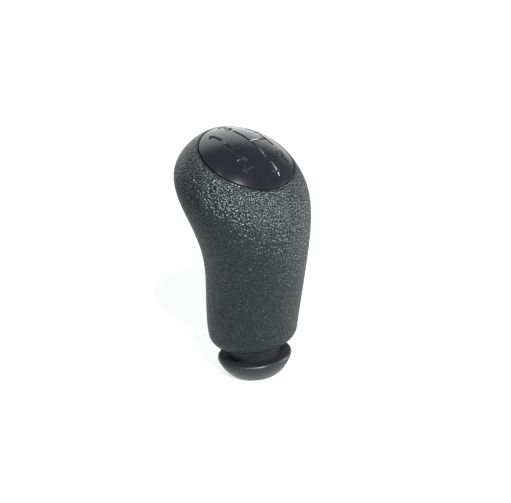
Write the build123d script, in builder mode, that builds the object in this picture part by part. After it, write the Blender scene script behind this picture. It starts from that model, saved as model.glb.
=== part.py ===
from build123d import *
from math import sqrt
import os

# Gear shift knob: a soft grained grip moulded round a rigid core, closed by a domed shift-pattern cap.
# Millimetres and degrees. +Z runs up the gear lever, +Y points to the front of the car, +X to its right.
# The origin is the centre of the core's flat foot, on the lever's axis.

# Lever socket: the blind bore that is pressed onto the gear lever
bore_radius = 6.0
bore_depth = 48.0
bore_lead_in = 0.5
socket_wall = 4.0

# Collar: the flange at the foot of the core, rounded under so that the gaiter's hem slides over it into the neck
collar_overhang = 4.6
collar_height = 7.7
collar_top_round = 0.9
foot_inset = 4.9
neck_length = 4.6

# Key ribs: fins up the stem of the core that stop the grip from turning on it
rib_count = 4
rib_width = 2.6
rib_depth = 2.4
rib_start = 9.0

# Grip, seen from the side: reaches of its front and rear lines from the lever's axis.
# Heights of the lower points are measured up from the grip's lower face, those of the head from the cap's centre.
base_radius = 16.4
base_round = 6.0
front_shank_rise = 19.6
front_shank_reach = 15.2
front_waist_rise = 39.6
front_waist_reach = 12.9
front_flare_drop = 16.0
front_flare_reach = 16.6
front_head_lift = 1.1
front_head_reach = 19.1
front_brow_lift = 6.0
front_brow_reach = 14.8
rear_shank_rise = 19.6
rear_shank_reach = 21.5
rear_palm_rise = 37.6
rear_palm_reach = 25.6
rear_head_drop = 22.0
rear_head_reach = 26.3
section_steps = 32

# Cap's seat in the head, tilted towards the driver's hand: its centre's height sets how tall the knob is
rim_height = 85.9
rim_setback = 7.1
rim_tilt = 31.0
rim_land = 0.4
rim_round = 0.3

# Cap: a domed cover with a slotted skirt that snaps into the core's dish
cap_radius = 17.5
cap_rise = 5.8
cap_proud = 0.4
cap_edge = 2.0
cap_wall = 2.2
cap_gap = 0.35
skirt_inset = 2.2
skirt_wall = 1.6
skirt_length = 5.0
skirt_slots = 6
slot_width = 3.0
bead_height = 0.6
bead_width = 1.6
snap_clearance = 0.2

# Dish: the tilted cup at the top of the core that takes the cap
dish_floor = 2.5
floor_clearance = 1.0

neck_radius = bore_radius + socket_wall
collar_radius = neck_radius + collar_overhang
foot_radius = collar_radius - foot_inset
ball_height = (collar_radius**2 - foot_radius**2 + collar_height**2) / (2 * collar_height)
ball_radius = sqrt(foot_radius**2 + ball_height**2)
grip_base = collar_height + neck_length
cap_plane = Plane((0, -rim_setback, rim_height)).rotated((rim_tilt, 0, 0))
cap_axis = Axis(cap_plane.origin, cap_plane.z_dir)
cap_profile = Plane(cap_plane.origin, x_dir=cap_plane.x_dir, z_dir=-cap_plane.y_dir)
rim_plane = cap_plane.offset(-cap_proud)
seat_radius = cap_radius + cap_gap
rim_radius = seat_radius + rim_land
rim_front = rim_plane.from_local_coords((0, rim_radius, 0))
rim_rear = rim_plane.from_local_coords((0, -rim_radius, 0))
skirt_radius = cap_radius - skirt_inset
skirt_end = -cap_edge - skirt_length
bead_middle = -cap_edge - skirt_length / 2
cup_radius = skirt_radius + snap_clearance
cup_bottom = skirt_end - floor_clearance
dish_plane = cap_plane.offset(cup_bottom - dish_floor)

# Outer form of the core: collar, neck and ribbed stem in one turned shape, with the dish on top
with BuildPart() as core_form:
    with BuildSketch(Plane.XZ):
        with BuildLine():
            underside = RadiusArc((collar_radius, collar_height), (foot_radius, 0), radius=ball_radius)
            Polyline(
                underside @ 0,
                (neck_radius, collar_height),
                (neck_radius, rim_height + neck_radius),
                (0, rim_height + neck_radius),
                (0, 0),
                underside @ 1,
            )
        core_profile = make_face()
        fillet(core_profile.vertices().sort_by(Axis.X)[-1], radius=collar_top_round)
    revolve(axis=Axis.Z)
    with BuildSketch(Plane.XY.offset(grip_base + rib_start)):
        with PolarLocations(neck_radius, rib_count):
            Rectangle(2 * rib_depth, rib_width)
    extrude(amount=rim_height - grip_base - rib_start)
    split(bisect_by=dish_plane, keep=Keep.BOTTOM)
    with BuildSketch(dish_plane):
        Circle(seat_radius)
    extrude(amount=dish_floor - cup_bottom - cap_edge)

# Core: the outer form with the lever's bore, and the cup with a groove for the cap's bead
with BuildPart() as core_insert:
    add(core_form.part)
    with BuildSketch(Plane.XY):
        Circle(bore_radius)
    extrude(amount=bore_depth, mode=Mode.SUBTRACT)
    mouth = core_insert.edges().filter_by(GeomType.CIRCLE).group_by(Axis.Z)[0]
    chamfer(mouth.sort_by(SortBy.RADIUS)[0], length=bore_lead_in)
    with BuildSketch(cap_profile):
        with BuildLine():
            Polyline(
                (0, cup_bottom),
                (cup_radius, cup_bottom),
                (cup_radius, bead_middle - bead_width / 2 - snap_clearance),
                (cup_radius + bead_height, bead_middle - snap_clearance),
                (cup_radius + bead_height, bead_middle + snap_clearance),
                (cup_radius, bead_middle + bead_width / 2 + snap_clearance),
                (cup_radius, -cap_edge),
                (0, -cap_edge),
                close=True,
            )
        make_face()
    revolve(axis=cap_axis, mode=Mode.SUBTRACT)

# Front and rear lines of the grip, on the knob's plane of symmetry, from its lower face to the cap's rim
with BuildLine(Plane.YZ) as front_line:
    Spline(
        (base_radius, grip_base),
        (front_shank_reach, grip_base + front_shank_rise),
        (front_waist_reach, grip_base + front_waist_rise),
        (front_flare_reach, rim_height - front_flare_drop),
        (front_head_reach, rim_height + front_head_lift),
        (front_brow_reach, rim_height + front_brow_lift),
        (rim_front.Y, rim_front.Z),
    )
with BuildLine(Plane.YZ) as rear_line:
    Spline(
        (-base_radius, grip_base),
        (-rear_shank_reach, grip_base + rear_shank_rise),
        (-rear_palm_reach, grip_base + rear_palm_rise),
        (-rear_head_reach, rim_height - rear_head_drop),
        (rim_rear.Y, rim_rear.Z),
    )

# Grip: one moulding lofted through round sections strung between the two lines, so that they
# tilt little by little from the level base to the cap's rim
with BuildPart() as grip:
    for step in range(section_steps + 1):
        front_point = front_line.line @ (step / section_steps)
        rear_point = rear_line.line @ (step / section_steps)
        across = front_point - rear_point
        upwards = Vector(1, 0, 0).cross(across)
        with BuildSketch(Plane((front_point + rear_point) / 2, x_dir=(1, 0, 0), z_dir=upwards)):
            Circle(across.length / 2)
    loft()
    fillet(grip.faces().sort_by(Axis.Z)[0].edges(), radius=base_round)
    fillet(grip.faces().filter_by(rim_plane)[0].edges(), radius=rim_round)
    add(core_form.part, mode=Mode.SUBTRACT)
    with BuildSketch(rim_plane):
        Circle(seat_radius)
    extrude(amount=cap_proud - cap_edge, mode=Mode.SUBTRACT)

# Cap: a dome of even wall that carries on the curve of the grip, with a beaded skirt cut into spring tabs
dome_radius = (cap_radius**2 + cap_rise**2) / (2 * cap_rise)
skirt_bore = skirt_radius - skirt_wall
ceiling = cap_rise - dome_radius + sqrt((dome_radius - cap_wall) ** 2 - skirt_bore**2)
with BuildPart() as pattern_cap:
    with BuildSketch(cap_profile):
        with BuildLine():
            outside = TangentArc((0, cap_rise), (cap_radius, 0), tangent=(1, 0))
            inside = TangentArc((0, cap_rise - cap_wall), (skirt_bore, ceiling), tangent=(1, 0))
            Polyline(
                outside @ 1,
                (cap_radius, -cap_edge),
                (skirt_radius, -cap_edge),
                (skirt_radius, bead_middle + bead_width / 2),
                (skirt_radius + bead_height, bead_middle),
                (skirt_radius, bead_middle - bead_width / 2),
                (skirt_radius, skirt_end),
                (skirt_bore, skirt_end),
                inside @ 1,
            )
            Line(inside @ 0, outside @ 0)
        make_face()
    revolve(axis=cap_axis)
    with BuildSketch(cap_plane.offset(skirt_end)):
        with PolarLocations(skirt_radius, skirt_slots):
            Rectangle(4 * skirt_wall, slot_width)
    extrude(amount=skirt_length, mode=Mode.SUBTRACT)

os.makedirs("parts", exist_ok=True)
grip.part.label = "grip"
export_step(grip.part, "parts/grip.step")
core_insert.part.label = "core_insert"
export_step(core_insert.part, "parts/core_insert.step")
pattern_cap.part.label = "pattern_cap"
export_step(pattern_cap.part, "parts/pattern_cap.step")
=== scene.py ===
from math import atan2, cos, pi, radians, sin, sqrt, tan

import bmesh
import bpy
import numpy as np
from mathutils import Matrix, Quaternion, Vector
from mathutils.geometry import interpolate_bezier


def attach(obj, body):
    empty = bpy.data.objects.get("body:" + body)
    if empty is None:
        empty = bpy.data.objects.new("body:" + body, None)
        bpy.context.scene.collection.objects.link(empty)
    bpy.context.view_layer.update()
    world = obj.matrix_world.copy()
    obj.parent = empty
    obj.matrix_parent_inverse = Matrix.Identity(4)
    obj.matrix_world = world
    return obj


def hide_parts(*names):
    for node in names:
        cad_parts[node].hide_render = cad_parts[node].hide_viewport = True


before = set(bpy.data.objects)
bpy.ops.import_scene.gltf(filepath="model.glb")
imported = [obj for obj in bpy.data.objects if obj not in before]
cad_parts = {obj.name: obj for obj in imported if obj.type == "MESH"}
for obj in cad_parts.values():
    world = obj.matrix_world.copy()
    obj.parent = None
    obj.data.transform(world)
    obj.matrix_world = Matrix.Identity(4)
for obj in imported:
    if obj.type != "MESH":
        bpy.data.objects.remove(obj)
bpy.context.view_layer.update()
scene = bpy.context.scene


# Core: the rigid black moulding inside the grip, whose neck and collar show below it.
# It is moulded in filled plastic with a satin, lightly eroded surface, and the lever is pressed into its bore.
# The flat top of its collar, where the gaiter's hem beds down, is dull, and its colour is painted darker as the
# shade under the grip.
core_colour = (0.0195, 0.0312, 0.0317, 1.0)
core_worn_colour = (0.0340, 0.0490, 0.0500, 1.0)
core_roughness = (0.28, 0.42)
core_pit_depth = 0.00002
core_specular = 0.80
collar_top = 0.0077
collar_top_band = 0.0001
collar_top_painted_shade = (0.0012, 0.0018, 0.0020, 1.0)
collar_top_dullness = 0.50


def new_material(name):
    """An empty node material with its Principled shader and output joined."""
    material = bpy.data.materials.new(name)
    material.use_nodes = True
    tree = material.node_tree
    tree.nodes.clear()
    output = tree.nodes.new("ShaderNodeOutputMaterial")
    shader = tree.nodes.new("ShaderNodeBsdfPrincipled")
    tree.links.new(shader.outputs["BSDF"], output.inputs["Surface"])
    return material, tree, shader


def moulded_finish():
    """Group for a moulded skin: slow clouding of its tone, and the fine pitting that the mould leaves."""
    group = bpy.data.node_groups.new("moulded finish", "ShaderNodeTree")
    for name, usual in (("Cloud Scale", 90.0), ("Pit Scale", 5200.0)):
        socket = group.interface.new_socket(name, in_out="INPUT", socket_type="NodeSocketFloat")
        socket.default_value = usual
    for name in ("Cloud", "Pits"):
        group.interface.new_socket(name, in_out="OUTPUT", socket_type="NodeSocketFloat")
    inside = group.nodes.new("NodeGroupInput")
    outside = group.nodes.new("NodeGroupOutput")
    place = group.nodes.new("ShaderNodeTexCoord")
    cloud = group.nodes.new("ShaderNodeTexNoise")
    cloud.inputs["Detail"].default_value = 3.0
    pits = group.nodes.new("ShaderNodeTexNoise")
    pits.inputs["Detail"].default_value = 1.0
    for noise, scale, out in ((cloud, "Cloud Scale", "Cloud"), (pits, "Pit Scale", "Pits")):
        group.links.new(place.outputs["Object"], noise.inputs["Vector"])
        group.links.new(inside.outputs[scale], noise.inputs["Scale"])
        group.links.new(noise.outputs["Fac"], outside.inputs[out])
    return group


moulded = moulded_finish()

core_plastic, tree, shader = new_material("core satin plastic")
finish = tree.nodes.new("ShaderNodeGroup")
finish.node_tree = moulded
tone = tree.nodes.new("ShaderNodeMix")
tone.data_type = "RGBA"
tone.inputs["A"].default_value = core_colour
tone.inputs["B"].default_value = core_worn_colour
tree.links.new(finish.outputs["Cloud"], tone.inputs["Factor"])
place = tree.nodes.new("ShaderNodeTexCoord")
height = tree.nodes.new("ShaderNodeSeparateXYZ")
tree.links.new(place.outputs["Object"], height.inputs["Vector"])
on_top = tree.nodes.new("ShaderNodeMath")
on_top.operation = "COMPARE"
on_top.inputs[1].default_value = collar_top
on_top.inputs[2].default_value = collar_top_band
tree.links.new(height.outputs["Z"], on_top.inputs[0])
# Painted shade: the collar's flat top is coloured darker for the shade that the grip casts over it.
painted_top_shade = tree.nodes.new("ShaderNodeMix")
painted_top_shade.data_type = "RGBA"
painted_top_shade.inputs["B"].default_value = collar_top_painted_shade
tree.links.new(on_top.outputs["Value"], painted_top_shade.inputs["Factor"])
tree.links.new(tone.outputs["Result"], painted_top_shade.inputs["A"])
tree.links.new(painted_top_shade.outputs["Result"], shader.inputs["Base Color"])
satin = tree.nodes.new("ShaderNodeMapRange")
satin.inputs["To Min"].default_value, satin.inputs["To Max"].default_value = core_roughness
tree.links.new(finish.outputs["Cloud"], satin.inputs["Value"])
roughened = tree.nodes.new("ShaderNodeMath")
roughened.operation = "MULTIPLY_ADD"
roughened.inputs[1].default_value = collar_top_dullness
tree.links.new(on_top.outputs["Value"], roughened.inputs[0])
tree.links.new(satin.outputs["Result"], roughened.inputs[2])
tree.links.new(roughened.outputs["Value"], shader.inputs["Roughness"])
pitting = tree.nodes.new("ShaderNodeBump")
pitting.inputs["Strength"].default_value = 0.5
pitting.inputs["Distance"].default_value = core_pit_depth
tree.links.new(finish.outputs["Pits"], pitting.inputs["Height"])
tree.links.new(pitting.outputs["Normal"], shader.inputs["Normal"])
shader.inputs["Specular IOR Level"].default_value = core_specular

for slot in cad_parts["core_insert"].material_slots:
    slot.material = core_plastic


# Grip: one soft moulding round the core, dark charcoal, from a mould that is lofted through round sections.
# It is drawn by its front and rear lines in the side view, and ends in a small rounded lip at the cap's seat.
# Inside, it grips the core's neck and clears the core's ribs.
front_line = (
    (0.01640, 0.01230),
    (0.01520, 0.03190),
    (0.01290, 0.05190),
    (0.01660, 0.06990),
    (0.01910, 0.08700),
    (0.01480, 0.09190),
)
rear_line = (
    (-0.01640, 0.01230),
    (-0.02150, 0.03190),
    (-0.02560, 0.04990),
    (-0.02630, 0.06390),
)
base_round = 0.0056
neck_radius = 0.0100
rib_foot = 0.0213
rib_clearance_radius = 0.0127
seat_radius = 0.01785
rim_radius = 0.01825
rim_drop = 0.0004
rim_round = 0.0003
seat_depth = 0.0105
seat_tilt = radians(31.0)
seat_place = Matrix.Translation((0.0, -0.0071, 0.0859)) @ Matrix.Rotation(seat_tilt, 4, "X")
section_points = 160
body_shares = [0.10 + 0.88 * i / 58 for i in range(59)]
lip_shares = [0.986, 0.991, 0.9955, 1.0]
section_shares = [0.0] + body_shares + lip_shares
grain_margin = 0.0001
grain_fade = 0.0003


def moulding_line(points, shares):
    """Points at shares of the length of the smooth line through the points of a side view."""
    marks = np.array(points)
    run = np.concatenate(([0.0], np.cumsum(np.linalg.norm(np.diff(marks, axis=0), axis=1))))
    gap = np.diff(run)
    rows = np.eye(len(marks))
    slopes = np.zeros_like(marks)
    slopes[0] = np.polyfit(run[:4], marks[:4], 3)[-2]
    slopes[-1] = np.polyfit(run[-4:] - run[-1], marks[-4:], 3)[-2]
    for i in range(1, len(marks) - 1):
        before, after = gap[i - 1], gap[i]
        rows[i, i - 1 : i + 2] = after, 2 * (before + after), before
        slopes[i] = 3 * (after * (marks[i] - marks[i - 1]) / before + before * (marks[i + 1] - marks[i]) / after)
    slopes = np.linalg.solve(rows, slopes)
    line = []
    for i, length in enumerate(gap):
        near, far = marks[i], marks[i + 1]
        knots = (near, near + slopes[i] * length / 3, far - slopes[i + 1] * length / 3, far)
        line += interpolate_bezier(*(Vector((0.0, y, z)) for y, z in knots), 400)
    line = np.array(line)
    lengths = np.concatenate(([0.0], np.cumsum(np.linalg.norm(np.diff(line, axis=0), axis=1))))
    wanted = np.array(shares) * lengths[-1]
    return [Vector((0.0, np.interp(w, lengths, line[:, 1]), np.interp(w, lengths, line[:, 2]))) for w in wanted]


def ring(mesh, radius, place):
    """The edges of a circle of the grip's sections, laid in its place."""
    made = bmesh.ops.create_circle(mesh, cap_ends=False, segments=section_points, radius=radius, matrix=place)
    return list({edge for vert in made["verts"] for edge in vert.link_edges})


rim_front = seat_place @ Vector((0.0, rim_radius, -rim_drop))
rim_rear = seat_place @ Vector((0.0, -rim_radius, -rim_drop))
fronts = moulding_line(front_line + ((rim_front.y, rim_front.z),), section_shares)
rears = moulding_line(rear_line + ((rim_rear.y, rim_rear.z),), section_shares)
moulding = bmesh.new()
rings = []
for front, rear in zip(fronts, rears):
    across = (front - rear).normalized()
    turn = Matrix(((1, 0, 0), across, Vector((1, 0, 0)).cross(across))).transposed().to_4x4()
    rings.append(ring(moulding, (front - rear).length / 2, Matrix.Translation((front + rear) / 2) @ turn))
lip = rings[-1]
seat_floor = seat_place @ Vector((0.0, 0.0, -seat_depth))
slope_cut = Matrix.Translation((0.0, 0.0, seat_floor.z - seat_floor.y * tan(seat_tilt)))
slope_cut[2][1] = tan(seat_tilt)
slope_cut[2][2] = 0.0
rings.append(ring(moulding, seat_radius, seat_place @ Matrix.Translation((0.0, 0.0, -rim_drop))))
rings.append(ring(moulding, seat_radius, seat_place @ Matrix.Translation((0.0, 0.0, -seat_depth))))
rings.append(ring(moulding, rib_clearance_radius, slope_cut))
rings.append(ring(moulding, rib_clearance_radius, Matrix.Translation((0.0, 0.0, rib_foot))))
rings.append(ring(moulding, neck_radius, Matrix.Translation((0.0, 0.0, rib_foot))))
rings.append(ring(moulding, neck_radius, Matrix.Translation((0.0, 0.0, fronts[0].z))))
for lower, upper in zip(rings, rings[1:] + rings[:1]):
    bmesh.ops.bridge_loops(moulding, edges=lower + upper)
bmesh.ops.recalc_face_normals(moulding, faces=moulding.faces[:])
for corner, size, steps in ((rings[0], base_round, 12), (lip, rim_round, 4)):
    bmesh.ops.bevel(
        moulding, geom=corner, offset=size, segments=steps, profile=0.5, affect="EDGES", material=-1
    )

# The mould's grain fades out on the lip, and the hidden walls stay smooth.
grain_depth = moulding.verts.layers.float.new("grain_depth")
to_seat = seat_place.inverted()
for vert in moulding.verts:
    spot = to_seat @ vert.co
    from_lip = Vector((spot.xy.length - rim_radius, spot.z + rim_drop)).length
    inside = spot.xy.length < seat_radius + 1e-5 and -seat_depth - 1e-5 < spot.z
    hidden = inside or (vert.co.xy.length < rib_clearance_radius + 1e-5 and vert.co.z > fronts[0].z + 1e-5)
    vert[grain_depth] = 0.0 if hidden else min(1.0, max(0.0, (from_lip - grain_margin) / grain_fade))
for face in moulding.faces:
    face.smooth = True
grip_mesh = bpy.data.meshes.new("grained_grip")
moulding.to_mesh(grip_mesh)
moulding.free()
grip_mesh.set_sharp_from_angle(angle=radians(50))
grip = bpy.data.objects.new("grained_grip", grip_mesh)
scene.collection.objects.link(grip)

# Its skin is a fine pebble grain, each pebble a little under a millimetre across.
# The pebbles are polished on top, some more than others, with duller creases between, whose colour is painted dark
# as the shade that falls in them.
pebble_size = 0.00084
crease_painted_shade = (0.0010, 0.0018, 0.0018, 1.0)
pebble_colour = (0.0740, 0.1130, 0.1110, 1.0)
pebble_relief = 0.00041
least_polish = 0.05
crease_roughness = 0.28
top_roughness = 0.10
uneven_roughness = 0.10
grip_specular = 1.00
grip_tint = (0.88, 1.0, 1.0, 1.0)


def pebble_grain():
    """Group for a pebbled skin: the height of its pebbles, a mask of their tops, and a slow change of tone."""
    group = bpy.data.node_groups.new("pebble grain", "ShaderNodeTree")
    size = group.interface.new_socket("Pebbles Per Metre", in_out="INPUT", socket_type="NodeSocketFloat")
    size.default_value = 1.0 / pebble_size
    for name in ("Height", "Tops", "Tone"):
        group.interface.new_socket(name, in_out="OUTPUT", socket_type="NodeSocketFloat")
    inside = group.nodes.new("NodeGroupInput")
    outside = group.nodes.new("NodeGroupOutput")
    place = group.nodes.new("ShaderNodeTexCoord")
    waver = group.nodes.new("ShaderNodeTexNoise")
    waver.inputs["Scale"].default_value = 0.45 / pebble_size
    waver.inputs["Detail"].default_value = 1.0
    group.links.new(place.outputs["Object"], waver.inputs["Vector"])
    shift = group.nodes.new("ShaderNodeVectorMath")
    shift.operation = "MULTIPLY_ADD"
    shift.inputs[1].default_value = (pebble_size * 0.7,) * 3
    group.links.new(waver.outputs["Color"], shift.inputs[0])
    group.links.new(place.outputs["Object"], shift.inputs[2])
    cells = group.nodes.new("ShaderNodeTexVoronoi")
    cells.feature = "F1"
    edges = group.nodes.new("ShaderNodeTexVoronoi")
    edges.feature = "DISTANCE_TO_EDGE"
    for pattern in (cells, edges):
        group.links.new(shift.outputs["Vector"], pattern.inputs["Vector"])
        group.links.new(inside.outputs["Pebbles Per Metre"], pattern.inputs["Scale"])
    dome = group.nodes.new("ShaderNodeMath")
    dome.operation = "MULTIPLY"
    group.links.new(cells.outputs["Distance"], dome.inputs[0])
    group.links.new(cells.outputs["Distance"], dome.inputs[1])
    height = group.nodes.new("ShaderNodeMath")
    height.operation = "SUBTRACT"
    height.inputs[0].default_value = 1.0
    group.links.new(dome.outputs["Value"], height.inputs[1])
    group.links.new(height.outputs["Value"], outside.inputs["Height"])
    tops = group.nodes.new("ShaderNodeMapRange")
    tops.interpolation_type = "SMOOTHSTEP"
    tops.inputs["From Min"].default_value = 0.08
    tops.inputs["From Max"].default_value = 0.42
    group.links.new(edges.outputs["Distance"], tops.inputs["Value"])
    each_pebble = group.nodes.new("ShaderNodeSeparateColor")
    group.links.new(cells.outputs["Color"], each_pebble.inputs["Color"])
    rubbing = group.nodes.new("ShaderNodeMapRange")
    rubbing.inputs["To Min"].default_value = least_polish
    group.links.new(each_pebble.outputs["Red"], rubbing.inputs["Value"])
    polished = group.nodes.new("ShaderNodeMath")
    polished.operation = "MULTIPLY"
    group.links.new(tops.outputs["Result"], polished.inputs[0])
    group.links.new(rubbing.outputs["Result"], polished.inputs[1])
    group.links.new(polished.outputs["Value"], outside.inputs["Tops"])
    tone = group.nodes.new("ShaderNodeTexNoise")
    tone.inputs["Scale"].default_value = 70.0
    tone.inputs["Detail"].default_value = 4.0
    group.links.new(place.outputs["Object"], tone.inputs["Vector"])
    group.links.new(tone.outputs["Fac"], outside.inputs["Tone"])
    return group


grip_skin, tree, shader = new_material("grip grained skin")
grain = tree.nodes.new("ShaderNodeGroup")
grain.node_tree = pebble_grain()
depth = tree.nodes.new("ShaderNodeAttribute")
depth.attribute_name = "grain_depth"
raised = tree.nodes.new("ShaderNodeMath")
raised.operation = "MULTIPLY"
tree.links.new(grain.outputs["Height"], raised.inputs[0])
tree.links.new(depth.outputs["Fac"], raised.inputs[1])
# Painted shade: the creases between the pebbles are coloured near black for the shade that falls in them.
colour = tree.nodes.new("ShaderNodeMix")
colour.data_type = "RGBA"
colour.inputs["A"].default_value = crease_painted_shade
colour.inputs["B"].default_value = pebble_colour
tree.links.new(grain.outputs["Tops"], colour.inputs["Factor"])
tree.links.new(colour.outputs["Result"], shader.inputs["Base Color"])
polish = tree.nodes.new("ShaderNodeMapRange")
polish.inputs["To Min"].default_value = crease_roughness
polish.inputs["To Max"].default_value = top_roughness
tree.links.new(grain.outputs["Tops"], polish.inputs["Value"])
worn = tree.nodes.new("ShaderNodeMath")
worn.operation = "MULTIPLY_ADD"
worn.inputs[1].default_value = uneven_roughness
tree.links.new(grain.outputs["Tone"], worn.inputs[0])
tree.links.new(polish.outputs["Result"], worn.inputs[2])
tree.links.new(worn.outputs["Value"], shader.inputs["Roughness"])
relief = tree.nodes.new("ShaderNodeBump")
relief.inputs["Strength"].default_value = 1.0
relief.inputs["Distance"].default_value = pebble_relief
tree.links.new(raised.outputs["Value"], relief.inputs["Height"])
tree.links.new(relief.outputs["Normal"], shader.inputs["Normal"])
shader.inputs["Specular IOR Level"].default_value = grip_specular
shader.inputs["Specular Tint"].default_value = grip_tint
grip_mesh.materials.append(grip_skin)
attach(grip, "root")
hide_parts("grip")


# Cap: a polished black plastic dome that snaps into the core's dish, tilted towards the driver's hand.
# Its shift pattern is engraved with a ball-ended cutter and left unpainted, and the cuts are coloured darker as
# painted shade in the grooves.
cap_radius = 0.0175
cap_rise = 0.0058
cap_edge = 0.0020
cap_edge_round = 0.00025
cap_wall = 0.0022
skirt_radius = 0.0153
skirt_bore = 0.0137
skirt_length = 0.0050
bead_height = 0.0006
bead_width = 0.0016
skirt_tabs = 6
slot_width = 0.0030
cap_steps_out = 150
cap_steps_round = 480

ball_radius = (cap_radius**2 + cap_rise**2) / (2 * cap_rise)
ball_centre = Vector((0.0, 0.0, cap_rise - ball_radius))
ceiling = ball_centre.z + sqrt((ball_radius - cap_wall) ** 2 - skirt_bore**2)
bead_middle = -cap_edge - skirt_length / 2

shell = bmesh.new()
apex = shell.verts.new((0.0, 0.0, cap_rise))
outer_angle = atan2(cap_radius, -ball_centre.z)
turned = bmesh.ops.spin(
    shell, geom=[apex], cent=ball_centre, axis=(0, 1, 0), angle=outer_angle, steps=cap_steps_out, use_duplicate=False
)
last = turned["geom_last"][0]
for x, z in ((cap_radius, -cap_edge), (skirt_bore, -cap_edge), (skirt_bore, ceiling)):
    corner = shell.verts.new((x, 0.0, z))
    shell.edges.new((last, corner))
    last = corner
inner_angle = atan2(skirt_bore, ceiling - ball_centre.z)
bmesh.ops.spin(
    shell, geom=[last], cent=ball_centre, axis=(0, 1, 0), angle=-inner_angle, steps=12, use_duplicate=False
)
bmesh.ops.spin(
    shell,
    geom=shell.verts[:] + shell.edges[:],
    cent=(0, 0, 0),
    axis=(0, 0, 1),
    angle=2 * pi,
    steps=cap_steps_round,
    use_merge=True,
    use_duplicate=False,
)
bmesh.ops.remove_doubles(shell, verts=shell.verts[:], dist=1e-7)
bmesh.ops.recalc_face_normals(shell, faces=shell.faces[:])
rim = [
    edge
    for edge in shell.edges
    if all(abs(v.co.z) < 1e-6 and abs(v.co.xy.length - cap_radius) < 1e-6 for v in edge.verts)
]
bmesh.ops.bevel(
    shell, geom=rim, offset=cap_edge_round, segments=3, profile=0.5, affect="EDGES", material=-1
)

# Shift pattern: five forward gears and reverse, on gate lines that meet at neutral.
# Each mark is the path of the cutter in the cap's own plane, with +Y to the front of the car.
gate_columns = (-0.0082, 0.0006, 0.0094)
neutral = 0.0013
outer_reach = 0.0034
middle_reach = 0.0082
numeral_height = 0.0047
line_half_width = 0.00060
line_wall = 0.00042
line_depth = 0.00040


def bow(centre, radius, start, end, steps=14):
    """Points round part of a circle, from one angle to another in degrees."""
    angles = [radians(start + (end - start) * i / steps) for i in range(steps + 1)]
    return [(centre[0] + radius * cos(a), centre[1] + radius * sin(a)) for a in angles]


numerals = {
    "1": [[(-0.22, 0.28), (0.06, 0.5), (0.06, -0.5)]],
    "2": [bow((0.0, 0.22), 0.28, 165, -38) + [(-0.30, -0.5), (0.32, -0.5)]],
    "3": [bow((0.0, 0.25), 0.25, 150, -85, 12) + bow((0.0, -0.22), 0.28, 85, -150, 14)],
    "4": [[(0.14, -0.5), (0.14, 0.5), (-0.32, -0.2), (0.34, -0.2)]],
    "5": [[(0.26, 0.5), (-0.20, 0.5), (-0.25, 0.06)] + bow((0.0, -0.18), 0.32, 132, -145, 16)],
    "R": [
        [(-0.26, -0.5), (-0.26, 0.5)] + bow((0.04, 0.24), 0.26, 90, -90, 12) + [(-0.26, -0.02)],
        [(0.06, -0.02), (0.30, -0.5)],
    ],
}
numeral_places = {
    "1": (-0.0076, 0.0100),
    "2": (-0.0087, -0.0063),
    "3": (0.0008, 0.0137),
    "4": (0.0008, -0.0121),
    "5": (0.0098, 0.0084),
    "R": (0.0091, -0.0077),
}
left, middle, right = gate_columns
cutter_paths = [
    [(left, neutral), (right, neutral)],
    [(left, neutral + outer_reach), (left, neutral - outer_reach)],
    [(middle, neutral + middle_reach), (middle, neutral - middle_reach)],
    [(right, neutral + outer_reach), (right, neutral - outer_reach)],
]
for numeral, strokes in numerals.items():
    x, y = numeral_places[numeral]
    for stroke in strokes:
        cutter_paths.append([(x + numeral_height * px, y + numeral_height * py) for px, py in stroke])
cutter_runs = [
    (Vector(start), Vector(end)) for path in cutter_paths for start, end in zip(path[:-1], path[1:])
]
cutter_boxes = [
    (
        min(start.x, end.x) - line_half_width,
        max(start.x, end.x) + line_half_width,
        min(start.y, end.y) - line_half_width,
        max(start.y, end.y) + line_half_width,
    )
    for start, end in cutter_runs
]
gloss = shell.verts.layers.float.new("gloss")
for vert in shell.verts:
    vert[gloss] = 1.0
    out = vert.co - ball_centre
    if abs(out.length - ball_radius) > 1e-5:
        continue
    x, y = vert.co.x, vert.co.y
    nearest = line_half_width
    for (start, end), (x_low, x_high, y_low, y_high) in zip(cutter_runs, cutter_boxes):
        if x_low < x < x_high and y_low < y < y_high:
            run = end - start
            share = min(1.0, max(0.0, (vert.co.xy - start).dot(run) / run.length_squared))
            nearest = min(nearest, (vert.co.xy - start - run * share).length)
    if nearest < line_half_width:
        fall = min(1.0, (line_half_width - nearest) / line_wall)
        cut = fall * fall * (3 - 2 * fall)
        vert.co -= out.normalized() * line_depth * cut
        vert[gloss] = 1.0 - cut

# Spring tabs of the skirt: each is the same beaded section, turned part of the way round.
tab_turn = 2 * pi / skirt_tabs
tab_angle = tab_turn - slot_width / skirt_radius
for tab in range(skirt_tabs):
    corners = [
        shell.verts.new((x, 0.0, z))
        for x, z in (
            (skirt_radius, -cap_edge + 0.0001),
            (skirt_radius, bead_middle + bead_width / 2),
            (skirt_radius + bead_height, bead_middle),
            (skirt_radius, bead_middle - bead_width / 2),
            (skirt_radius, -cap_edge - skirt_length),
            (skirt_bore, -cap_edge - skirt_length),
            (skirt_bore, -cap_edge + 0.0001),
        )
    ]
    section = shell.faces.new(corners)
    begin = Matrix.Rotation(tab_turn * (tab + 0.5) - tab_angle / 2, 4, "Z")
    bmesh.ops.transform(shell, matrix=begin, verts=corners)
    bmesh.ops.spin(
        shell,
        geom=[section] + section.edges[:] + corners,
        cent=(0, 0, 0),
        axis=(0, 0, 1),
        angle=tab_angle,
        steps=12,
        use_duplicate=False,
    )
bmesh.ops.recalc_face_normals(shell, faces=shell.faces[:])
bmesh.ops.transform(shell, matrix=seat_place, verts=shell.verts[:])
for face in shell.faces:
    face.smooth = True
cap_mesh = bpy.data.meshes.new("shift_cap")
shell.to_mesh(cap_mesh)
shell.free()
cap_mesh.set_sharp_from_angle(angle=radians(50))
cap = bpy.data.objects.new("shift_cap", cap_mesh)
scene.collection.objects.link(cap)

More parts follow.
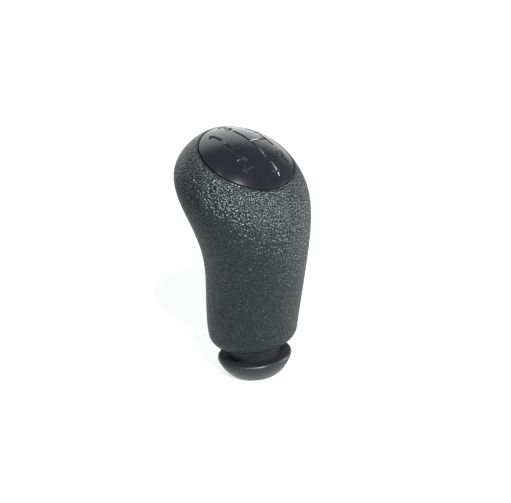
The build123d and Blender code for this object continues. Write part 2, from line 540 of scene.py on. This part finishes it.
cap_colours = ((0.0080, 0.0090, 0.0130, 1.0), (0.0110, 0.0120, 0.0165, 1.0))
cap_roughness = (0.14, 0.22)
cap_coat_roughness = 0.10
cut_painted_shade = (0.0030, 0.0033, 0.0045, 1.0)
cut_roughness = 0.55

cap_plastic, tree, shader = new_material("cap polished plastic")
finish = tree.nodes.new("ShaderNodeGroup")
finish.node_tree = moulded
finish.inputs["Cloud Scale"].default_value = 140.0
tone = tree.nodes.new("ShaderNodeMix")
tone.data_type = "RGBA"
tone.inputs["A"].default_value, tone.inputs["B"].default_value = cap_colours
tree.links.new(finish.outputs["Cloud"], tone.inputs["Factor"])
lacquer = tree.nodes.new("ShaderNodeAttribute")
lacquer.attribute_name = "gloss"
tree.links.new(lacquer.outputs["Fac"], shader.inputs["Coat Weight"])
# Painted shade: the engraved cuts are coloured darker than the dome for the shade that falls in the grooves.
cut_shade_mix = tree.nodes.new("ShaderNodeMix")
cut_shade_mix.data_type = "RGBA"
cut_shade_mix.inputs["A"].default_value = cut_painted_shade
tree.links.new(lacquer.outputs["Fac"], cut_shade_mix.inputs["Factor"])
tree.links.new(tone.outputs["Result"], cut_shade_mix.inputs["B"])
tree.links.new(cut_shade_mix.outputs["Result"], shader.inputs["Base Color"])
gloss_range = tree.nodes.new("ShaderNodeMapRange")
gloss_range.inputs["To Min"].default_value, gloss_range.inputs["To Max"].default_value = cap_roughness
tree.links.new(finish.outputs["Cloud"], gloss_range.inputs["Value"])
cut_dull = tree.nodes.new("ShaderNodeMix")
cut_dull.inputs["A"].default_value = cut_roughness
tree.links.new(lacquer.outputs["Fac"], cut_dull.inputs["Factor"])
tree.links.new(gloss_range.outputs["Result"], cut_dull.inputs["B"])
tree.links.new(cut_dull.outputs["Result"], shader.inputs["Roughness"])
shader.inputs["Coat Roughness"].default_value = cap_coat_roughness
cap_mesh.materials.append(cap_plastic)
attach(cap, "root")
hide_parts("pattern_cap")


# Studio: a plain floor that the knob stands on, in a dim room with one bright panel behind it on the right.
# To the camera the floor and the surround are white, and the floor keeps the knob's shadow.
# Only in reflections, the floor is lighter under the knob's foot and to its right.
floor_half = 3.0
floor_colour = (0.45, 0.45, 0.45, 1.0)
floor_near, floor_far = 0.40, 1.20
lift_near, lift_far = 0.72, 1.0
foot_glow = 0.55
foot_glow_inside, foot_glow_end = 0.011, 0.017
right_glow = 0.22
right_glow_start, right_glow_full = -0.05, 0.10
room_colour = (0.17, 0.18, 0.20, 1.0)
panel_colour = (1.15, 1.15, 1.15, 1.0)
panel_way = Vector((0.52, 0.74, 0.42)).normalized()
panel_edge, panel_full = 0.60, 0.96

ground = bmesh.new()
bmesh.ops.create_grid(ground, x_segments=1, y_segments=1, size=floor_half)
floor_mesh = bpy.data.meshes.new("studio_floor")
ground.to_mesh(floor_mesh)
ground.free()
floor = bpy.data.objects.new("studio_floor", floor_mesh)
scene.collection.objects.link(floor)
floor_paint = bpy.data.materials.new("floor white")
floor_paint.use_nodes = True
tree = floor_paint.node_tree
tree.nodes.clear()
output = tree.nodes.new("ShaderNodeOutputMaterial")
paint = tree.nodes.new("ShaderNodeBsdfDiffuse")
paint.inputs["Color"].default_value = floor_colour
lift = tree.nodes.new("ShaderNodeEmission")
seen = tree.nodes.new("ShaderNodeLightPath")
place = tree.nodes.new("ShaderNodeTexCoord")
reach = tree.nodes.new("ShaderNodeVectorMath")
reach.operation = "LENGTH"
tree.links.new(place.outputs["Object"], reach.inputs[0])
under_foot = tree.nodes.new("ShaderNodeMapRange")
under_foot.interpolation_type = "SMOOTHSTEP"
under_foot.inputs["From Min"].default_value = foot_glow_inside
under_foot.inputs["From Max"].default_value = foot_glow_end
under_foot.inputs["To Min"].default_value = foot_glow
under_foot.inputs["To Max"].default_value = 0.0
tree.links.new(reach.outputs["Value"], under_foot.inputs["Value"])
sideways = tree.nodes.new("ShaderNodeSeparateXYZ")
tree.links.new(place.outputs["Object"], sideways.inputs["Vector"])
to_right = tree.nodes.new("ShaderNodeMapRange")
to_right.inputs["From Min"].default_value = right_glow_start
to_right.inputs["From Max"].default_value = right_glow_full
to_right.inputs["To Max"].default_value = right_glow
tree.links.new(sideways.outputs["X"], to_right.inputs["Value"])
glow = tree.nodes.new("ShaderNodeMath")
glow.operation = "ADD"
tree.links.new(under_foot.outputs["Result"], glow.inputs[0])
tree.links.new(to_right.outputs["Result"], glow.inputs[1])
mirrored = tree.nodes.new("ShaderNodeMath")
mirrored.operation = "MULTIPLY"
tree.links.new(seen.outputs["Is Glossy Ray"], mirrored.inputs[0])
tree.links.new(glow.outputs["Value"], mirrored.inputs[1])
far_off = tree.nodes.new("ShaderNodeMapRange")
far_off.inputs["From Min"].default_value = floor_near
far_off.inputs["From Max"].default_value = floor_far
far_off.inputs["To Min"].default_value = lift_near
far_off.inputs["To Max"].default_value = lift_far
tree.links.new(reach.outputs["Value"], far_off.inputs["Value"])
amount = tree.nodes.new("ShaderNodeMath")
amount.operation = "MULTIPLY_ADD"
tree.links.new(seen.outputs["Is Camera Ray"], amount.inputs[0])
tree.links.new(far_off.outputs["Result"], amount.inputs[1])
tree.links.new(mirrored.outputs["Value"], amount.inputs[2])
tree.links.new(amount.outputs["Value"], lift.inputs["Strength"])
both = tree.nodes.new("ShaderNodeAddShader")
tree.links.new(paint.outputs["BSDF"], both.inputs[0])
tree.links.new(lift.outputs["Emission"], both.inputs[1])
tree.links.new(both.outputs["Shader"], output.inputs["Surface"])
floor_mesh.materials.append(floor_paint)

surround = bpy.data.worlds.new("studio surround")
surround.use_nodes = True
tree = surround.node_tree
tree.nodes.clear()
output = tree.nodes.new("ShaderNodeOutputWorld")
way = tree.nodes.new("ShaderNodeTexCoord")
towards_panel = tree.nodes.new("ShaderNodeVectorMath")
towards_panel.operation = "DOT_PRODUCT"
towards_panel.inputs[1].default_value = panel_way
tree.links.new(way.outputs["Generated"], towards_panel.inputs[0])
panel = tree.nodes.new("ShaderNodeMapRange")
panel.interpolation_type = "SMOOTHSTEP"
panel.inputs["From Min"].default_value = panel_edge
panel.inputs["From Max"].default_value = panel_full
tree.links.new(towards_panel.outputs["Value"], panel.inputs["Value"])
room = tree.nodes.new("ShaderNodeMix")
room.data_type = "RGBA"
room.inputs["A"].default_value = room_colour
room.inputs["B"].default_value = panel_colour
tree.links.new(panel.outputs["Result"], room.inputs["Factor"])
around = tree.nodes.new("ShaderNodeBackground")
around.inputs["Strength"].default_value = 1.0
tree.links.new(room.outputs["Result"], around.inputs["Color"])
plain_white = tree.nodes.new("ShaderNodeBackground")
plain_white.inputs["Color"].default_value = (1.0, 1.0, 1.0, 1.0)
plain_white.inputs["Strength"].default_value = 1.0
seen = tree.nodes.new("ShaderNodeLightPath")
choose = tree.nodes.new("ShaderNodeMixShader")
tree.links.new(seen.outputs["Is Camera Ray"], choose.inputs["Fac"])
tree.links.new(around.outputs["Background"], choose.inputs[1])
tree.links.new(plain_white.outputs["Background"], choose.inputs[2])
tree.links.new(choose.outputs["Shader"], output.inputs["Surface"])
scene.world = surround


# Light: three small soft lamps. The key lamp above the camera sparkles on the grain under the cap,
# one hangs over the knob's left, and a low one on the right picks out the grip's right edge.
lamp_aim = Vector((0.0, -0.005, 0.06))


def soft_lamp(name, towards, distance, size, power):
    """A square soft lamp that lies in a direction from the knob and faces it."""
    data = bpy.data.lights.new(name, "AREA")
    data.shape = "SQUARE"
    data.size = size
    data.energy = power
    lamp = bpy.data.objects.new(name, data)
    direction = Vector(towards).normalized()
    lamp.location = lamp_aim + direction * distance
    lamp.rotation_mode = "QUATERNION"
    lamp.rotation_quaternion = direction.to_track_quat("Z", "Y")
    scene.collection.objects.link(lamp)


soft_lamp("key_lamp", (-0.37, -0.68, 0.635), 0.9, 0.10, 8.0)
soft_lamp("left_lamp", (-0.54, -0.20, 0.82), 0.9, 0.15, 1.8)
soft_lamp("low_lamp", (0.78, -0.62, 0.06), 0.8, 0.20, 2.9)


# Camera: a moderate tele lens from the driver's left shoulder, turned a little on its axis.
camera_aim = Vector((0.00168, -0.00466, 0.04901))
camera_azimuth = radians(-44.14)
camera_elevation = radians(19.22)
camera_roll = radians(5.99)
camera_distance = 0.35427
lens = bpy.data.cameras.new("camera")
lens.sensor_width = 36.0
lens.lens = 67.38
lens.clip_start = 0.01
lens.clip_end = 20.0
camera = bpy.data.objects.new("camera", lens)
back = Vector(
    (
        sin(camera_azimuth) * cos(camera_elevation),
        -cos(camera_azimuth) * cos(camera_elevation),
        sin(camera_elevation),
    )
)
camera.location = camera_aim + back * camera_distance
camera.rotation_mode = "QUATERNION"
camera.rotation_quaternion = back.to_track_quat("Z", "Y") @ Quaternion((0, 0, 1), -camera_roll)
scene.collection.objects.link(camera)
scene.camera = camera
scene.view_settings.view_transform = "Standard"
